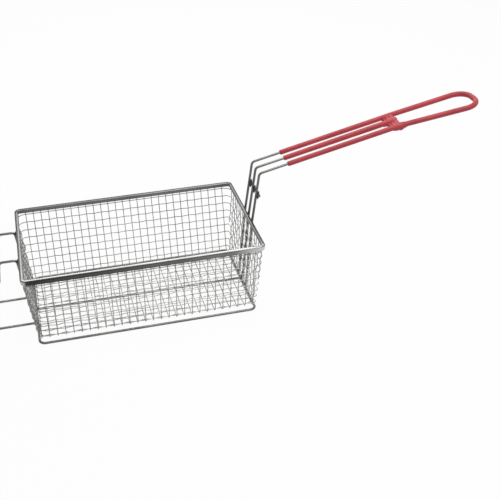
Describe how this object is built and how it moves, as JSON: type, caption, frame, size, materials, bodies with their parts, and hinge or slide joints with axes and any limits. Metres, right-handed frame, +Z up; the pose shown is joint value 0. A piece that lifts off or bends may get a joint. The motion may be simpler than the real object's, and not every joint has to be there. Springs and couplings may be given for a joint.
{
  "type": "fry basket",
  "caption": "Rectangular woven-wire fry basket with a folded rim, wire base frame, front hanging hooks and a long raised wire handle with a dipped grip.",
  "frame": {"origin": "middle of the base frame, on the table that it stands on", "axes": "+X from the basket along the handle, +Y across the basket, +Z up"},
  "size_m": [0.6253, 0.175, 0.2172],
  "materials": {
    "rim_sheet": "nickel-plated folded sheet",
    "heavy_wire": "bright nickel-plated wire",
    "mesh_wire": "nickel-plated woven wire",
    "grip_vinyl": "dipped red vinyl, satin"
  },
  "bodies": {
    "root": {"rim_channel": "rim_sheet", "base_frame": "heavy_wire", "floor_bar": "heavy_wire", "front_bumper": "heavy_wire", "near_hook": "heavy_wire", "far_hook": "heavy_wire", "handle_centre_wire": "heavy_wire", "handle_loop_wire": "heavy_wire", "handle_tie_bar": "heavy_wire", "grip_cross_bar": "heavy_wire", "cross_wires": "mesh_wire", "long_wires": "mesh_wire", "front_filler_wires": "mesh_wire", "back_filler_wires": "mesh_wire", "wall_hoop_1": "mesh_wire", "wall_hoop_2": "mesh_wire", "wall_hoop_3": "mesh_wire", "wall_hoop_4": "mesh_wire", "wall_hoop_5": "mesh_wire", "wall_hoop_6": "mesh_wire", "wall_hoop_7": "mesh_wire", "wall_hoop_8": "mesh_wire", "wall_hoop_9": "mesh_wire", "grip_coating": "grip_vinyl"}
  },
  "joints": []
}
